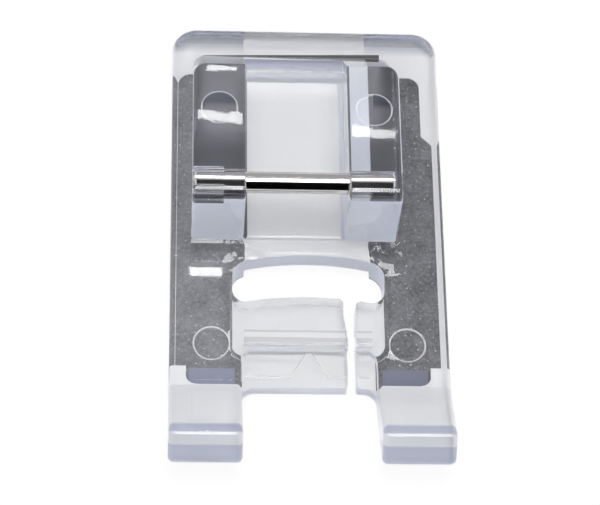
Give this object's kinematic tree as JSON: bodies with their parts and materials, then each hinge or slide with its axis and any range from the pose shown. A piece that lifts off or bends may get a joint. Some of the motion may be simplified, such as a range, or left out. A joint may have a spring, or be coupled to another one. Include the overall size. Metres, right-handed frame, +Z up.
{
  "type": "sewing machine presser foot",
  "caption": "Clear clip-on presser foot with upturned toes, a bowed needle opening, a slotted guide bridge and a steel cross pin held in a U-shaped block.",
  "frame": {"origin": "middle of the foot's plan box, on the plane of the sole", "axes": "+X to the right seen from the toes, +Y from the toes to the rear, +Z up out of the sole"},
  "size_m": [0.0196, 0.035, 0.0082],
  "materials": {
    "clear_plastic": "polished clear moulding",
    "steel_pin": "polished steel"
  },
  "bodies": {
    "root": {"foot_body": "clear_plastic", "hinge_pin": "steel_pin"}
  },
  "joints": []
}
